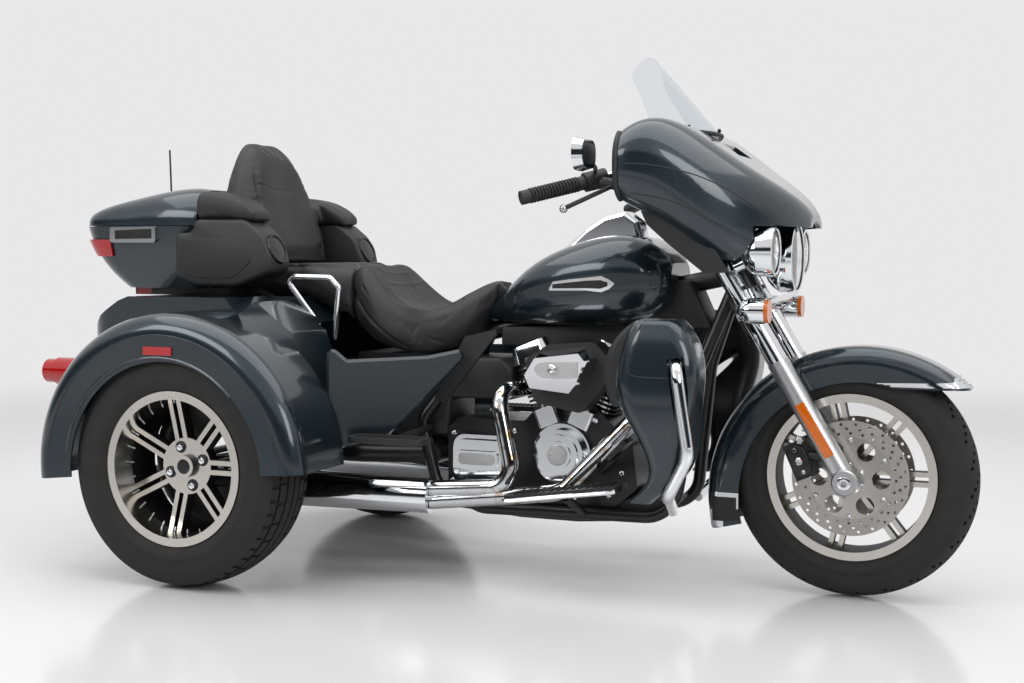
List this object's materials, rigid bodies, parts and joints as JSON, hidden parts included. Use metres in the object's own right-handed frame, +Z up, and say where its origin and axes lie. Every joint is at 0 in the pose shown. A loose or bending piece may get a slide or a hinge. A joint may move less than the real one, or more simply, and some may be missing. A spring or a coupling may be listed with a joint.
{
  "type": "motorized trike",
  "caption": "Touring motorized trike with a steered front wheel, handlebar fairing, vee engine, twin rear wheels under broad fenders, and a hinged top case and trunk.",
  "frame": {"origin": "on the floor, midway between the front tread and the aerial's tip, on the centre plane", "axes": "+X forward, +Y to the rider's left, +Z up"},
  "size_m": [2.6099, 1.39, 1.4299],
  "materials": {
    "paint": "deep metallic gloss",
    "chrome": "polished",
    "engine_black": "satin black with bright fin edges",
    "frame_black": "gloss black",
    "black_plastic": "grained",
    "leather": "grained, stitched",
    "red_lens": "clear red",
    "amber_lens": "clear amber",
    "clear": "clear",
    "aluminium": "machined",
    "disc_steel": "ground",
    "tyre": "matt"
  },
  "bodies": {
    "chassis": {"air_cleaner_body": "black_plastic", "air_cleaner_cover": "chrome", "air_deflectors": "black_plastic", "antenna": "frame_black", "backrest": "leather", "case_latch": "chrome", "cylinders": "engine_black", "engine_case": "engine_black", "engine_covers": "chrome", "engine_guard": "chrome", "exhaust_pipes": "chrome", "fender_left": "paint", "fender_right": "paint", "foot_controls": "chrome", "footboards": "frame_black", "frame": "frame_black", "fuel_tank": "paint", "lower_fairings": "paint", "lower_liners": "black_plastic", "mufflers": "chrome", "passenger_rails": "chrome", "passenger_seat": "leather", "primary_cover": "chrome", "rear_axle": "frame_black", "rear_lamps": "red_lens", "rear_shocks": "frame_black", "rider_seat": "leather", "side_covers": "paint", "speaker_pods": "black_plastic", "swingarm": "frame_black", "tank_console": "chrome", "top_case_base": "paint", "trunk_body": "paint"},
    "steering": {"fork_sliders": "aluminium", "fork_uppers": "chrome", "handlebar": "chrome", "grips": "black_plastic", "hand_controls": "chrome", "mirrors": "chrome", "fairing_shell": "paint", "inner_fairing": "black_plastic", "windshield": "clear", "headlamps": "chrome", "lamp_lenses": "clear", "signal_bar": "chrome", "signal_lenses": "amber_lens", "front_fender": "paint", "brake_calipers": "frame_black"},
    "front_wheel": {"front_tyre": "tyre", "front_rim": "aluminium", "brake_discs": "disc_steel"},
    "rear_wheel_right": {"rear_tyre_right": "tyre", "rear_rim_right": "aluminium"},
    "rear_wheel_left": {"rear_tyre_left": "tyre", "rear_rim_left": "aluminium"},
    "top_case_lid": {"top_case_lid": "paint"},
    "trunk_door": {"trunk_door": "paint"}
  },
  "joints": [
    {"name": "steering", "type": "hinge", "parent": "chassis", "child": "steering", "pos_m": [0.67712, 0, 0.84037], "axis": [-0.4384, 0, 0.8988], "range_deg": [-35, 35]},
    {"name": "front_wheel_spin", "type": "hinge", "parent": "steering", "child": "front_wheel", "pos_m": [0.987, 0, 0.318], "axis": [0, 1, 0], "continuous": true},
    {"name": "rear_wheel_right_spin", "type": "hinge", "parent": "chassis", "child": "rear_wheel_right", "pos_m": [-0.683, -0.575, 0.322], "axis": [0, 1, 0], "continuous": true},
    {"name": "rear_wheel_left_spin", "type": "hinge", "parent": "chassis", "child": "rear_wheel_left", "pos_m": [-0.683, 0.575, 0.322], "axis": [0, 1, 0], "continuous": true},
    {"name": "top_case_lid_hinge", "type": "hinge", "parent": "chassis", "child": "top_case_lid", "pos_m": [-1.0665, 0.312, 0.973], "axis": [-1, 0, 0], "range_deg": [0, 90]},
    {"name": "trunk_door_hinge", "type": "hinge", "parent": "chassis", "child": "trunk_door", "pos_m": [-1.146, 0, 0.44], "axis": [0, -1, 0], "range_deg": [0, 90]}
  ]
}
